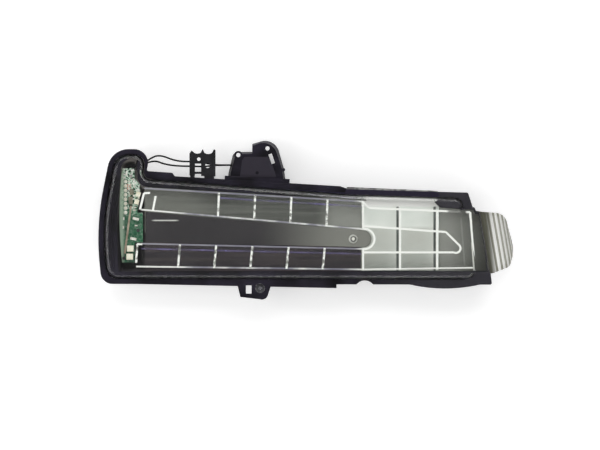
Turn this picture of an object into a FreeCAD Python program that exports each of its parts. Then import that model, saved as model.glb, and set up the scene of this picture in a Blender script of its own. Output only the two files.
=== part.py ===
import FreeCAD, Part
import math
import os

from FreeCAD import Vector

# Mirror turn signal lamp, lying on its back: X along the lamp from the wide head to the fluted
# tail, Y across it towards the upper bracket, Z out of the window. Millimetres.

# Three sizes that drive the rest
head_height = 77.6
tail_height = 52.6
lens_length = 239.3

# Head of the housing
head_width = 30.5
foot_corner = 7.0
left_foot_share = 0.0245
left_foot_x = head_height * left_foot_share
left_top_share = 0.0954
left_top_x = head_height * left_top_share
left_bow_bulge = 0.0206
left_bow_x = -head_height * left_bow_bulge
head_top_width = head_width - left_top_x
head_corner_share = 0.52
head_corner = head_top_width * head_corner_share
left_bow_share = 0.425
left_bow_ratio = 1.93
left_bow_radius = head_height * left_bow_ratio
neck_drop = 12.6
shoulder_corner_share = 0.635
shoulder_corner = neck_drop * shoulder_corner_share
neck_lean = 2.7
neck_height = head_height - neck_drop
shoulder_x = 44.0
shoulder_drop = 3.0
shoulder_lean = 1.4
shoulder_height = neck_height - shoulder_drop

# Long body and tail of the housing
tail_back = 26.7
tail_x = lens_length - tail_back
tail_slant = 3.3
tail_step = 11.0
tail_end_x = tail_x + tail_step
tail_drop = 11.6
tail_end_top = tail_height - tail_drop
tail_collar = 1.4
tail_foot_step = 2.8
tail_foot_x = tail_end_x + tail_foot_step
tail_foot_height = 8.3
band_step_back = 73.6
band_step_x = tail_x - band_step_back
band_step = 1.7
band_step_run = 5.0
band_fall = 3.7
band_step_height = tail_height + band_fall
soft_corner = 1.0
broad_corner = 4.0

# Lower edge: a wedge that ends in a step, a hollow beside it, and a belly
lower_edge = -0.4
wedge_start = 22.4
lower_step_back = 75.6
lower_step_x = tail_x - lower_step_back
lower_step = 2.0
hollow_back = 59.4
hollow_x = tail_x - hollow_back
hollow_rise = 2.4
hollow_radius = 6.0
belly_back = 33.6
belly_start = tail_x - belly_back
belly_depth = 2.0
belly_end_gap = 7.0
belly_end = tail_foot_x - belly_end_gap
edge_lap = 1.0

# Heights above the face that the lamp lies on
flange_top = 21.0
flange_thickness = 3.0
flange_low = flange_top - flange_thickness
edge_round = 0.8
wall = 2.0
floor_lift = 1.5
tail_lift = 7.5
tail_lift_back = 62.6
tail_lift_start = tail_x - tail_lift_back
rear_rib_first = 20.0
rear_rib_pitch = 22.0
rear_rib_low = 17.2
rear_rib_high = 31.2
rib_thickness = 1.2
gusset_first = 26.0
gusset_depth = 6.0
gusset_reach = 6.0
ledge_height = 12.5
ridge_inset = 4.3
ridge_radius = 0.7
ridge_end = 52.0
ledge_width = 1.5

# Window opening in the housing
window_left_gap = 9.6
window_left = left_foot_x + window_left_gap
window_bow_gap = 12.3
window_left_bow = left_bow_x + window_bow_gap
window_left_share = 0.26
window_left_top = left_top_x + head_top_width * window_left_share
window_bow_ratio = 1.55
window_bow_radius = head_height * window_bow_ratio
window_bottom = 7.2
window_head_drop = 5.8
window_head_top = head_height - window_head_drop
window_right_share = 0.346
window_head_right = head_width - head_top_width * window_right_share
window_shoulder_drop = 5.8
window_top_left = shoulder_height - window_shoulder_drop
window_tail_drop = 4.2
window_top_mid = tail_height - window_tail_drop
window_neck_share = 0.66
window_neck_corner = (window_head_right - window_left_top) * window_neck_share
strip_rise = 1.8
strip_back = 20.1
strip_right = tail_x - strip_back
strip_slope = 4.2
window_end_gap = 2.0
window_right = tail_end_x - window_end_gap
window_lean = 1.8
window_end_drop = 1.6
window_collar = 3.4

# Clear light guide
guide_base = 1.6
guide_rise = 8.0
guide_wall = 0.9
rib_wall = 1.2
rib_lift = 0.4
inner_wall_drop = 1.5
guide_back = 2.0
guide_end = tail_x + guide_back
end_rib_lean = 1.8
turn_back = 60.4
arm_turn = tail_x - turn_back
arm_start = 34.0
arm_drop = 1.6
arm_top_start = window_top_left - arm_drop
arm_turn_drop = 1.0
arm_top_turn = window_top_mid - arm_turn_drop
upper_arm_height = 12.6
arm_low_start = arm_top_start - upper_arm_height
arm_low_turn = 31.6
lower_top_start = 23.0
lower_top_turn = 20.2
guide_foot = 8.4
foot_slope = 1.0
guide_inner_gap = 2.9
upper_rib_first = 68.8
lower_rib_first = 46.4
rib_pitch = 20.8
rib_slant = 0.6
dot_offset = 3.1
dot_radius = 0.55
dot_count = 5
nose_length = 6.6
nose_tip = arm_turn + nose_length
grid_pitch = 21.3
grid_step = 3.4
grid_top_drop = 4.7
grid_top = window_top_mid - grid_top_drop
grid_drop = 2.4
grid_mid = 33.4
grid_mid_fall = 3.5
grid_low = 18.2
bullet_run = 5.0
bullet_back = 6.2
bullet_tip = guide_end - bullet_back
bullet_rise = 4.6
bullet_round = 4.0
inlet_x = 26.3
inlet_lean = 2.3
inlet_bar_x = 32.2

# Dark inner plate, its tongue and the reflector
plate_thickness = 1.5
plate_top = ledge_height + plate_thickness
reflector_thickness = 1.0
guide_low = plate_top + reflector_thickness
guide_high = guide_low + guide_base + guide_rise
tongue_rise = 2.0
tongue_gap = 0.6
rivet_back = 5.6
rivet_radius = 2.6
rivet_dome = 3.2
rivet_bore = 0.8
rivet_height = 1.0

# Outer lens
lens_inset = 3.0
lens_top_lean = 0.6
lens_head_width = head_top_width + lens_top_lean - 2 * lens_inset
lens_head_share = 0.53
lens_head_corner = lens_head_width * lens_head_share
lens_neck_share = 0.35
lens_neck_corner = lens_head_width * lens_neck_share
lens_bow_ratio = 1.75
lens_bow_radius = head_height * lens_bow_ratio
lens_wall = 2.0
lens_top = 33.5
lens_head_drop = 6.0
lens_tail_drop = 1.5
lens_wrap_radius = 25.0
lens_slant = 0.17
lens_lean_y = 18.6
lens_overrun = 22.0
lens_shoulder = 3.0
lens_foot = 6.0
lens_tail_gap = 4.6
lens_tip_low = 6.3
lens_tip_top_gap = 0.6
lens_tip_top = tail_end_top + lens_tip_top_gap
lens_tip_root = 9.0
lens_tip_corner = 7.0
lip_thickness = 0.8
lip_overhang = 1.3
lip_length = 56.0
groove_depth = 1.6
seal_thickness = 0.5
seal_end_gap = 3.0
flute_count = 7
flute_radius = 1.5
flute_depth = 0.8
flute_first = 68.0
flute_pitch = 9.0

# Circuit board and what it carries
board_height = 14.0
board_thickness = 1.6
board_surface = board_height + board_thickness
board_left = 12.2
board_right = 25.7
board_drop = 5.2
board_top = window_head_top - board_drop
board_foot = 12.4
board_neck_gap = 1.6
board_neck = window_head_right - board_neck_gap
board_bow = 1.6
board_grid = 0.2
post_inset = 2.5
post_radius = 1.5
stake_radius = 0.8
stake_rise = 0.6
pin_count = 8
pin_pitch = 2.54
pin_share = 0.4
pin_x = board_left + (board_neck - board_left) * pin_share
pin_drop = 7.7
pin_top_y = board_top - pin_drop
pin_radius = 0.32
joint_radius = 0.95
joint_height = 0.8
header_width = 2.5
header_depth = 4.5
led_side = 2.7
led_height = 2.0
led_turn = -12.0
upper_led_pitch = 4.4
lower_led_length = 3.9
lower_led_width = 3.5
lower_led_pitch = 4.7
chip_length = 2.4
chip_height = 1.2
small_length = 1.6
small_width = 0.8
small_height = 0.5
capacitor_length = 3.6
capacitor_width = 1.5
link_width = 1.1
link_inset = 3.0
link_lean = 1.8
link_drop = 21.6
link_rise = 5.2
link_sag = 8.5

# Leads, grommet and clip
lead_diameter = 1.0
lead_gap = 0.2
lead_level = 14.0
grommet_drop = 3.6
grommet_y = window_head_top - grommet_drop
grommet_height = 15.2
grommet_radius = 1.8
grommet_lip = 0.8
clip_left = 52.4
clip_width = 15.0
clip_lift = 0.9
clip_height = 12.9
clip_wall = 1.6
clip_depth = 9.0
clip_front = 18.0
spike_height = 2.4

# Upper bracket with its connector
bracket_left = 74.6
bracket_right = 108.0
bracket_rise = 22.0
bracket_front = 19.0
bracket_depth = 12.0
bracket_wall = 2.4
bracket_draft = 1.2
bracket_sink = 6.0
lobe_rise = 6.2
bracket_hole = 2.4
boss_wall = 1.2
panel_rise = 0.5
nub_radius = 0.9
connector_x = (bracket_left + bracket_right) / 2
connector_drop = 15.6
connector_length = 14.0
connector_width = 9.0
connector_height = 11.0
connector_wall = 1.2
latch_length = 4.0
latch_depth = 1.2
contact_width = 0.8
contact_gap = 6.0

# Lower lug with its bush
lug_left = 80.0
lug_right = 99.3
lug_drop = 8.8
lug_thickness = 4.0
lug_low = flange_low - 1.0
lug_bore = 3.2
bush_wall = 1.1
bush_seat = 1.4
bush_reach = 2.5
bush_web = 1.2
bush_dimple = 0.6
bush_x = 93.0
bush_y = -2.4
latch_slot_width = 3.2
latch_slot_height = 4.7

# Vent in the rear wall
vent_back = 30.0
vent_x = tail_lift_start - vent_back
vent_y = 26.0
vent_radius = 6.0
vent_bore = 1.5
vent_lift = 0.3
vent_notches = 6
fit = 0.25
lap = 1.0


def at(x, y, z=0.0):
    return Vector(x, y, z)


def between(x, x0, y0, x1, y1):
    return y0 + (y1 - y0) * (x - x0) / (x1 - x0)


def top_edge(x):
    return between(x, shoulder_x, shoulder_height, band_step_x, band_step_height)


def low_edge(x):
    return between(x, left_foot_x, 0.0, tail_foot_x, lower_edge)


def arm_top(x):
    return between(x, arm_start, arm_top_start, arm_turn, arm_top_turn)


def arm_low(x):
    return between(x, arm_start, arm_low_start, arm_turn, arm_low_turn)


def lower_top(x):
    return between(x, arm_start, lower_top_start, arm_turn, lower_top_turn)


def guide_foot_at(x):
    return between(x, arm_start, guide_foot + foot_slope, arm_turn, guide_foot)


bracket_top = top_edge(bracket_left) + bracket_rise
connector_y = bracket_top - connector_drop
lead_entry = connector_y + 1.8
nose_y = (arm_low_turn + lower_top_turn) / 2


def trace(start, steps, z=0.0):
    # Closed wire: a step with one point is a line, a step with two is an arc through them.
    edges, here = [], at(start[0], start[1], z)
    for step in steps + [[start]]:
        ends = [at(p[0], p[1], z) for p in step]
        if (ends[-1] - here).Length < 1e-6:
            continue
        if len(ends) == 1:
            edges.append(Part.LineSegment(here, ends[0]).toShape())
        else:
            edges.append(Part.Arc(here, ends[0], ends[1]).toShape())
        here = ends[-1]
    return Part.Wire(edges)


def face_of(start, steps):
    return Part.Face(trace(start, steps))


def soft_outline(corners):
    # Closed outline through named corners (x, y, radius), each rounded by a tangent arc.
    pts = [at(x, y) for x, y, r in corners]
    joints = []
    for k, (x, y, radius) in enumerate(corners):
        into = (pts[k] - pts[k - 1]).normalize()
        out = (pts[(k + 1) % len(pts)] - pts[k]).normalize()
        turn = into.getAngle(out)
        cut = radius * math.tan(turn / 2)
        inward = (out - into).normalize()
        middle = pts[k] + inward * (radius / math.cos(turn / 2) - radius)
        joints.append((pts[k] - into * cut, middle, pts[k] + out * cut))
    edges = []
    for k, (start, middle, end) in enumerate(joints):
        edges.append(Part.Arc(start, middle, end).toShape())
        edges.append(Part.LineSegment(end, joints[(k + 1) % len(joints)][0]).toShape())
    return Part.Face(Part.Wire(edges))


def raised(face, low, high):
    moved = face.copy()
    moved.translate(at(0, 0, low))
    return moved.extrude(at(0, 0, high - low))


def grown(face, by):
    return face.makeOffset2D(by)


def kept(face, x0, y0, x1, y1):
    # The stretch of a flat face inside a rectangle.
    return face.common(block(x0, y0, -lap, x1, y1, lap)).Faces[0]


def block(x0, y0, z0, x1, y1, z1):
    return Part.makeBox(x1 - x0, y1 - y0, z1 - z0, at(x0, y0, z0))


def disc(x, y, radius, low, high):
    return Part.makeCylinder(radius, high - low, at(x, y, low))


def strip(p, q, width, low, high):
    # Straight wall from p to q seen from above.
    along = at(q[0] - p[0], q[1] - p[1])
    side = at(-along.y, along.x).normalize() * (width / 2)
    a, b = at(p[0], p[1], low), at(q[0], q[1], low)
    wire = Part.makePolygon([a - side, b - side, b + side, a + side, a - side])
    return Part.Face(wire).extrude(at(0, 0, high - low))


def bent_strip(p, middle, q, width, low, high):
    # Curved wall from p to q through a middle point.
    curve = Part.Arc(at(*p), at(*middle), at(*q)).toShape().Curve
    centre, radius = curve.Center, curve.Radius

    def on(point, r):
        return centre + (at(*point) - centre).normalize() * r

    outer, inner = radius + width / 2, radius - width / 2
    edges = [Part.Arc(on(p, outer), on(middle, outer), on(q, outer)).toShape(),
             Part.LineSegment(on(q, outer), on(q, inner)).toShape(),
             Part.Arc(on(q, inner), on(middle, inner), on(p, inner)).toShape(),
             Part.LineSegment(on(p, inner), on(p, outer)).toShape()]
    return raised(Part.Face(Part.Wire(edges)), low, high)


def joined(shapes):
    return shapes[0].fuse(shapes[1:]).removeSplitter()


def upright_edges(solid):
    return [e for e in solid.Edges if abs(e.tangentAt(e.FirstParameter).z) > 0.9]


# Outline of the band round the window, without bracket, lug and the details of its lower edge
def band_face():
    return soft_outline([
        (left_foot_x, 0.0, foot_corner),
        (tail_foot_x, lower_edge, soft_corner),
        (tail_foot_x - soft_corner, tail_foot_height, shoulder_corner),
        (tail_end_x, tail_end_top, soft_corner),
        (tail_x + tail_slant, tail_end_top + tail_collar, soft_corner),
        (tail_x, tail_height, soft_corner),
        (band_step_x + band_step_run, band_step_height - band_step, broad_corner),
        (band_step_x, band_step_height, broad_corner),
        (shoulder_x, shoulder_height, soft_corner),
        (shoulder_x - shoulder_lean, neck_height - soft_corner, soft_corner),
        (head_width - neck_lean, neck_height, soft_corner),
        (head_width, head_height, shoulder_corner),
        (left_top_x, head_height, head_corner),
        (left_bow_x, head_height * left_bow_share, left_bow_radius),
    ])


def body_face(band):
    wedge = face_of((wedge_start, edge_lap), [
        [(wedge_start, low_edge(wedge_start))],
        [(lower_step_x, lower_edge - lower_step)],
        [(lower_step_x, edge_lap)]])
    hollow = Part.Face(Part.Wire([Part.makeCircle(hollow_radius, at(
        hollow_x, lower_edge + hollow_rise - hollow_radius))]))
    deepest = (belly_start + belly_end) / 2 + belly_end_gap
    belly = face_of((belly_start, edge_lap), [
        [(belly_start, low_edge(belly_start))],
        [(deepest, lower_edge - belly_depth), (belly_end, low_edge(belly_end))],
        [(belly_end, edge_lap)]])
    return band.fuse([wedge, belly]).removeSplitter().cut(hollow).Faces[0]


# Opening that shows the optics
def window_face():
    return soft_outline([
        (window_left, window_bottom, 2 * soft_corner),
        (window_right + window_lean, window_bottom, soft_corner),
        (window_right, tail_end_top - window_end_drop, soft_corner),
        (tail_x + window_collar, tail_end_top - soft_corner, soft_corner / 2),
        (tail_x + window_end_gap, tail_end_top + window_lean, soft_corner / 2),
        (strip_right + strip_slope, window_top_mid - strip_slope, 2 * soft_corner),
        (strip_right, window_top_mid, soft_corner),
        (arm_turn + window_lean, window_top_mid + strip_rise, soft_corner / 2),
        (arm_turn + window_end_drop, window_top_mid, soft_corner / 4),
        (window_head_right, window_top_left, window_neck_corner),
        (window_head_right, window_head_top, soft_corner),
        (window_left_top, window_head_top, window_neck_corner),
        (window_left_bow, window_head_top / 2, window_bow_radius),
    ])


def above_rear(lift):
    # Everything above the rear face, which rises towards the tail.
    ahead, beyond, high = -head_width, tail_foot_x + head_width, 2 * flange_top
    wire = Part.makePolygon([
        at(ahead, ahead, lift), at(tail_lift_start, ahead, lift),
        at(tail_foot_x, ahead, lift + tail_lift), at(beyond, ahead, lift + tail_lift),
        at(beyond, ahead, high), at(ahead, ahead, high), at(ahead, ahead, lift)])
    return Part.Face(wire).extrude(at(0, 2 * head_height, 0))


# Upper bracket: a drafted tub, open to the rear, with a raised lobe on its top
def bracket_outline(inset, z):
    foot = top_edge(bracket_right) - bracket_sink
    left, right, top = bracket_left + inset, bracket_right - inset, bracket_top - inset
    shelf = bracket_top - lobe_rise - inset
    lobe_left = bracket_right - 19.5
    return trace((left - 1.0, foot), [
        [(right + 0.6, foot)],
        [(right - 1.2, foot + 14.0)],
        [(right - 4.0, shelf)],
        [(right - 8.0, top - 0.9), (right - 14.0, top)],
        [(lobe_left, top - 1.6)],
        [(lobe_left, shelf + 0.1)],
        [(left + 5.4, shelf)],
        [(left + 3.4, shelf - 0.9), (left + 2.4, shelf - 3.0)],
        [(left + 0.3, foot + 12.0)],
    ], z)


def bracket_parts():
    rear = bracket_front - bracket_depth
    outer = Part.makeLoft([bracket_outline(0.0, rear), bracket_outline(bracket_draft, bracket_front)],
                          True, True)
    inner = Part.makeLoft([bracket_outline(bracket_wall, rear - fit),
                           bracket_outline(bracket_draft + bracket_wall, bracket_front - bracket_wall)],
                          True, True)
    shell = outer.cut(inner)
    left_hole = (bracket_left + 5.9, bracket_top - 8.0)
    right_hole = (bracket_right - 10.7, bracket_top - 4.2)
    slot_top, slot_low = (bracket_right - 9.2, bracket_top - 7.4), (bracket_right - 7.4, bracket_top - 12.9)
    centres = [left_hole, right_hole]
    holes = [disc(x, y, bracket_hole / 2, rear - lap, bracket_front + lap) for x, y in centres]
    holes.append(strip(slot_top, slot_low, 2.0, rear - lap, bracket_front + lap))
    bosses = [disc(x, y, bracket_hole / 2 + boss_wall, rear, bracket_front) for x, y in centres]

    # Raised panel on the front, a moulding mark in it, the strip along the foot and a nub
    panel_left, panel_right = bracket_left + 8.0, bracket_right - 6.4
    panel = face_of((panel_left - 1.2, top_edge(panel_left) + 2.2), [
        [(panel_right + 1.0, top_edge(panel_right) + 2.2)],
        [(panel_right - 1.4, bracket_top - 13.6)],
        [(panel_right - 3.6, bracket_top - 9.0)],
        [(panel_left + 1.4, bracket_top - 9.0)],
        [(panel_left, bracket_top - 11.0)],
    ])
    panel = raised(panel, bracket_front - lap, bracket_front + panel_rise)
    foot = strip((bracket_left - 2.0, top_edge(bracket_left) + 0.4),
                 (bracket_right + 2.0, top_edge(bracket_right) + 0.4), 3.6, flange_low, flange_top - 0.6)
    nub = disc(bracket_right - 1.4, bracket_top - 16.4, nub_radius, rear + lap, bracket_front)
    holes.append(disc(connector_x, connector_y - 2.6, nub_radius, bracket_front, bracket_front + lap))
    return [shell, panel, foot, nub] + bosses, holes


# Lower lug with its latch slot and the seat of the bush
def lug_parts():
    foot = -lug_drop
    root = window_bottom - wall
    face = face_of((lug_left, root), [
        [(lug_left, -0.6)],
        [(lug_left + 1.4, foot + 2.4)],
        [(lug_left + 1.8, foot + 1.4), (lug_left + 2.8, foot + 1.2)],
        [(lug_right - 6.4, foot)],
        [(lug_right - 3.0, foot + 0.6), (lug_right - 1.6, foot + 3.0)],
        [(lug_right - 0.2, -1.6)],
        [(lug_right + 1.7, root)],
    ])
    high = lug_low + lug_thickness
    seat = lug_bore / 2 + bush_wall
    plate = raised(face, lug_low, high)
    collar = disc(bush_x, bush_y, seat + bush_seat, lug_low - bush_reach, high)
    slot_x, slot_y = lug_left + 4.9, foot + 3.3
    holes = [disc(bush_x, bush_y, seat, lug_low - 2 * bush_reach, high + lap),
             block(slot_x, slot_y, lug_low - lap, slot_x + latch_slot_width,
                   slot_y + latch_slot_height, high + lap)]
    return [plate, collar], holes


def on_board(across, down):
    # Place on the board in steps of its layout grid, from its upper left corner
    return board_left + across * board_grid, board_top - down * board_grid


def board_posts():
    return [(board_left + post_inset, board_foot + post_inset),
            (board_right - post_inset - fit, lower_top_start + 2 * chip_length + 2 * post_radius),
            on_board(33, 23)]


def band_solid(body):
    # The band's upper edge is rounded all round.
    solid = raised(body, flange_low, flange_top)
    rim = [e for e in solid.Edges if e.BoundBox.ZMin > flange_top - fit]
    return solid.makeFillet(edge_round, rim)


def gussets():
    # Short ribs under the band, clear of the bracket on the upper side
    count = int((tail_x - gusset_first) / rear_rib_pitch) + 1
    low = flange_low - gusset_depth
    found = []
    for k in range(count):
        x = gusset_first + rear_rib_pitch * k
        found.append(block(x, 0.0, low, x + rib_thickness, window_bottom, flange_low))
        if not bracket_left - wall < x + rib_thickness < bracket_right + 2 * wall:
            edge = (top_edge(x) if x < band_step_x else tail_height) - soft_corner
            found.append(block(x, edge - gusset_reach, low, x + rib_thickness, edge, flange_low))
    return found


def head_ridge():
    # Low round ridge along the head's left edge, inside the lens
    edges = [e for e in lens_face(ridge_inset).Edges if e.BoundBox.XMax < window_left]
    path = Part.Wire(Part.__sortEdges__(edges))
    path.translate(at(0, 0, flange_top))
    first = path.OrderedEdges[0]
    start = path.OrderedVertexes[0].Point
    circle = Part.makeCircle(ridge_radius, start, first.tangentAt(first.Curve.parameter(start)))
    ridge = path.makePipeShell([Part.Wire([circle])], True, False)
    return ridge.common(block(-lap, window_bottom + soft_corner, 0, window_left, ridge_end, 2 * flange_top))


def rear_ribs():
    count = int((tail_foot_x - rear_rib_first) / rear_rib_pitch) + 1
    ribs = []
    for k in range(count):
        x = rear_rib_first + rear_rib_pitch * k
        ribs.append(block(x, 0, -lap, x + rib_thickness, head_height, flange_low))
    for y in (rear_rib_low, rear_rib_high):
        ribs.append(block(0, y, -lap, tail_foot_x, y + rib_thickness, flange_low))
    return ribs


def make_housing(body, window):
    tray = raised(grown(window, wall).common(body), 0, flange_top)
    add_bracket, cut_bracket = bracket_parts()
    add_lug, cut_lug = lug_parts()
    shell = joined([tray, band_solid(body), head_ridge()] + add_bracket + add_lug + gussets())
    shell = shell.common(above_rear(0.0))

    # Hollows: the seat of the plate and board, the space behind them, and the shallow rear pockets
    floor_top = floor_lift + wall
    upper = raised(window, ledge_height, flange_top + lap)
    lower = raised(grown(window, -ledge_width), -lap, ledge_height).common(above_rear(floor_top))
    under = raised(grown(window, -0.5), -lap, flange_low).cut(above_rear(floor_lift)).cut(rear_ribs())
    shell = shell.cut([upper, lower, under, seal_groove()])

    vent_pad = disc(vent_x, vent_y, vent_radius + wall, floor_lift, floor_top + lap)
    posts = []
    for x, y in board_posts():
        posts.append(disc(x, y, post_radius, floor_top - lap, board_height))
        posts.append(disc(x, y, stake_radius, floor_top, board_surface + stake_rise))
    shell = joined([shell, vent_pad] + posts)
    cuts = [disc(vent_x, vent_y, vent_radius + fit, -lap, floor_top - floor_lift),
            disc(vent_x, vent_y, vent_bore, -lap, floor_top + 2 * lap),
            Part.makeCylinder(grommet_radius, wall + 2 * lap,
                              at(window_head_right - lap, grommet_y, grommet_height), at(1, 0, 0)),
            block(bracket_left - bracket_wall, lead_entry - 1.5, lead_level - 1.6,
                  bracket_left + 3 * bracket_wall, lead_entry + 1.5, lead_level + 1.6)]
    return shell.cut(cuts + cut_bracket + cut_lug).removeSplitter()


# Groove of the housing that takes the skirt of the lens
def skirt_ring(play):
    outer = grown(lens_face(0.0), play) if play else lens_face(0.0)
    return outer.cut(lens_face(lens_wall + play))


def before_tail(shape, gap):
    return shape.common(block(-head_width, -head_width, 0, tail_x - gap, 2 * head_height, 2 * flange_top))


def seal_groove():
    cut = raised(skirt_ring(fit), flange_top - groove_depth, flange_top + lap)
    return before_tail(cut, seal_end_gap - seal_thickness)


# Plan of the lens: its foot on the band, and the end that wraps round the tail
def lens_face(inset):
    gap = lens_inset + inset
    return soft_outline([
        (left_foot_x + gap, gap, foot_corner - inset),
        (tail_foot_x - lens_tail_gap - gap, lower_edge + gap, shoulder_corner - wall - inset),
        (tail_x - 0.4 - gap, tail_height - gap, shoulder_corner - wall - inset),
        (band_step_x + band_step_run, band_step_height - band_step - gap, 60.0),
        (head_width - neck_lean - gap + 0.6, neck_height - shoulder_lean - gap, broad_corner + inset),
        (head_width - gap, head_height - gap, lens_neck_corner - inset),
        (left_top_x - lens_top_lean + gap, head_height - gap, lens_head_corner - inset),
        (left_bow_x + 0.4 + gap, head_height * left_bow_share, lens_bow_radius - inset),
    ])


def lens_tip_face(inset):
    tip = lens_length - inset
    low, high = lens_tip_low + inset, lens_tip_top - inset
    root = tail_x - lens_tip_root - inset
    collar = tail_x + tail_slant + 0.4 - inset
    return soft_outline([
        (root, low, soft_corner / 2),
        (tail_foot_x + 0.4, low - 0.2, 5.0),
        (tip - 2.8, low + 3.6, 3.5 - inset),
        (tip, low + 12.6, 20.0),
        (tip - 5.6, high - soft_corner, lens_tip_corner - inset),
        (collar + soft_corner, high + 0.2, 0.8),
        (collar, high + 2.6, soft_corner),
        (root, high + 3.4, soft_corner / 2),
    ])


def lens_wrap_centre():
    return lens_length - lens_wrap_radius, lens_top - lens_tail_drop - lens_wrap_radius


def lens_side(sink):
    # Side profile of the lens: shallow arch along the lamp, then the wrap round the tail. It is
    # pushed along a slanted line, so the wrap leans as the tail does.
    radius = lens_wrap_radius - sink
    cx, cz = lens_wrap_centre()
    low_y, high_y = lens_lean_y - lens_overrun, head_height + lens_overrun / 2
    slide = lens_slant * (high_y - low_y)
    start, top, base = -lens_overrun, lens_top - sink, -lens_overrun / 4
    diagonal = radius * math.sqrt(0.5)
    left = at(start, 0, top - lens_head_drop)
    crest = at((cx + start) / 2, 0, top)
    shoulder, side = at(cx, 0, cz + radius), at(cx + radius, 0, cz)
    edges = [Part.Arc(left, crest, shoulder).toShape(),
             Part.Arc(shoulder, at(cx + diagonal, 0, cz + diagonal), side).toShape(),
             Part.makePolygon([side, at(side.x, 0, base), at(start, 0, base), left])]
    face = Part.Face(Part.Wire(edges))
    face.translate(at(lens_slant * lens_overrun, low_y, 0))
    return face.extrude(at(-slide, high_y - low_y, 0))


def rim_edges(solid, height):
    # Edges round the top of a solid, above a height.
    return [e for e in solid.Edges if e.BoundBox.ZMin > height and e.BoundBox.DiagonalLength > 0.4]


def lens_flutes():
    # Round grooves across the wrap, spaced by angle round its centre.
    cx, cz = lens_wrap_centre()
    reach = lens_wrap_radius + flute_radius - flute_depth
    low_y = lens_lean_y - lens_overrun
    grooves = []
    for k in range(flute_count):
        angle = math.radians(flute_first - flute_pitch * k)
        x = cx + reach * math.cos(angle) + lens_slant * lens_overrun
        z = cz + reach * math.sin(angle)
        grooves.append(Part.makeCylinder(flute_radius, head_height, at(x, low_y, z),
                                         at(-lens_slant, 1, 0)))
    return grooves


def lens_lip(band):
    # Thin clear lip on the band's upper edge behind the step, which stands out past the band.
    start = band_step_x + wall
    edge = band_step_height - band_step
    slope = (tail_height - edge) / (tail_x - band_step_x - band_step_run)
    low = edge - lens_inset - lens_wall / 2
    return raised(face_of((start, low), [
        [(start + lip_length, low + slope * lip_length)],
        [(start + lip_length - wall, edge + slope * lip_length + lip_overhang / 2)],
        [(start + wall, edge + lip_overhang)],
    ]), flange_top, flange_top + lip_thickness)


def make_lens(body):
    skirt = flange_top - groove_depth + seal_thickness
    top = lens_top + lap
    main = raised(lens_face(0.0), skirt, top).common(lens_side(0.0))
    main = main.makeFillet(lens_shoulder, rim_edges(main, flange_top + lens_shoulder))
    tip = raised(lens_tip_face(0.0), lens_foot, top).common(lens_side(0.0))
    outer = main.fuse([tip, lens_lip(body)])
    inner = [raised(lens_face(lens_wall), 0, top).common(lens_side(lens_wall)),
             raised(lens_tip_face(lens_wall), lens_foot + lens_wall, top).common(
                 lens_side(lens_wall))]
    # The end fits round the tail of the housing.
    tail = raised(grown(body, fit), -lap, flange_top).cut(seal_groove())
    bead = raised(skirt_ring(0.0), flange_top - groove_depth, skirt)
    return outer.cut(inner + [tail, bead] + lens_flutes()).removeSplitter()


def lens_clearance():
    # Room for the walls of the lens, cut from the guide inside it.
    high = lens_top + lap
    tip = grown(lens_tip_face(0.0), fit).cut(lens_tip_face(lens_wall + fit))
    return [raised(skirt_ring(fit), flange_top - groove_depth, high), raised(tip, lens_foot, high)]


def make_seal(window):
    low = flange_top - groove_depth
    bead = raised(skirt_ring(0.0).cut(grown(window, fit)), low, low + seal_thickness)
    return before_tail(bead, seal_end_gap)


# Clear light guide: a thin plate with upright walls that bound its cells
def guide_plates():
    inlet = inlet_x + soft_corner
    end_low, end_top = guide_end + end_rib_lean, guide_end - end_rib_lean / 2
    faces = [
        face_of((inlet, arm_low(inlet)), [
            [(arm_turn, arm_low_turn)], [(arm_turn, arm_top_turn)], [(inlet, arm_top(inlet))]]),
        face_of((inlet - 2.5, guide_foot_at(inlet)), [
            [(arm_turn, guide_foot)], [(arm_turn, lower_top_turn)],
            [(inlet - 2.5, lower_top(inlet))]]),
        face_of((arm_turn, guide_foot), [
            [(end_low, guide_foot_at(arm_start))], [(end_top, grid_top - grid_drop)],
            [(arm_turn + grid_step, grid_top)], [(arm_turn, arm_top_turn)],
            [(arm_turn, arm_low_turn)], [(nose_tip, nose_y), (arm_turn, lower_top_turn)]]),
    ]
    return [raised(f, guide_low, guide_low + guide_base) for f in faces]


def arm_walls():
    # Long walls of the two arms, each with a lower one inside it
    top, inner = guide_high, guide_high - inner_wall_drop
    begin = inlet_x - 1.5
    runs = [
        ((inlet_x, arm_top(inlet_x)), (arm_turn, arm_top_turn), top),
        ((begin, arm_low(begin)), (arm_turn, arm_low_turn), top),
        ((begin, lower_top(begin)), (arm_turn, lower_top_turn), top),
        ((begin, lower_top(begin) - guide_inner_gap), (arm_turn, lower_top_turn - guide_inner_gap), inner),
        ((upper_rib_first, arm_top(upper_rib_first) - guide_inner_gap),
         (arm_turn, arm_top_turn - guide_inner_gap), inner),
        ((begin - 3.0, guide_foot_at(begin) + 0.6), (arm_turn, guide_foot), top),
        ((arm_turn, guide_foot), (guide_end + end_rib_lean, guide_foot_at(arm_start)), top),
    ]
    return [strip(p, q, guide_wall, guide_low, high) for p, q, high in runs]


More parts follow.
